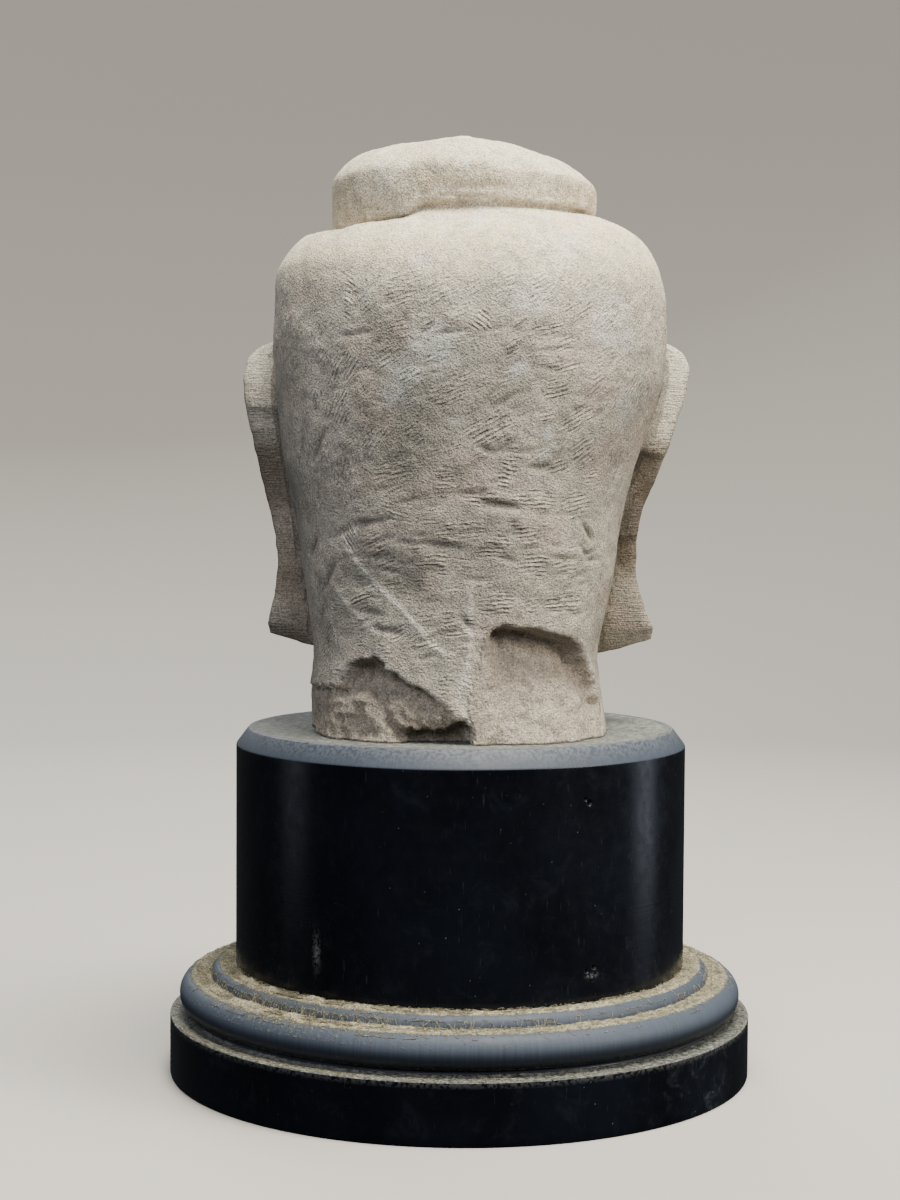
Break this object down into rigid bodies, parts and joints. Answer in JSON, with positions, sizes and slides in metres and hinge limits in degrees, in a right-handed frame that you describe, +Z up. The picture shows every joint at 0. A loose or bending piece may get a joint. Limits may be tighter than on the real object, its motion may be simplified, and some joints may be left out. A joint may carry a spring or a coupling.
{
  "type": "stone buddha head",
  "caption": "Carved stone head with long ears, a smooth skull and a low drum-shaped bun, broken at the neck, resting on a round turned plinth with a moulded foot.",
  "frame": {"origin": "centre of the plinth's underside, on the surface that it stands on", "axes": "+Z up the plinth's turned axis; the face looks along -Y and the roughly tooled back along +Y; the head's left ear is towards +X"},
  "size_m": [0.289, 0.289, 0.4573],
  "materials": {
    "sandstone": "matte, sandy and tooled",
    "ebonised_wood": "dusty black polish"
  },
  "bodies": {
    "root": {"stone_head": "sandstone", "wood_plinth": "ebonised_wood"}
  },
  "joints": []
}
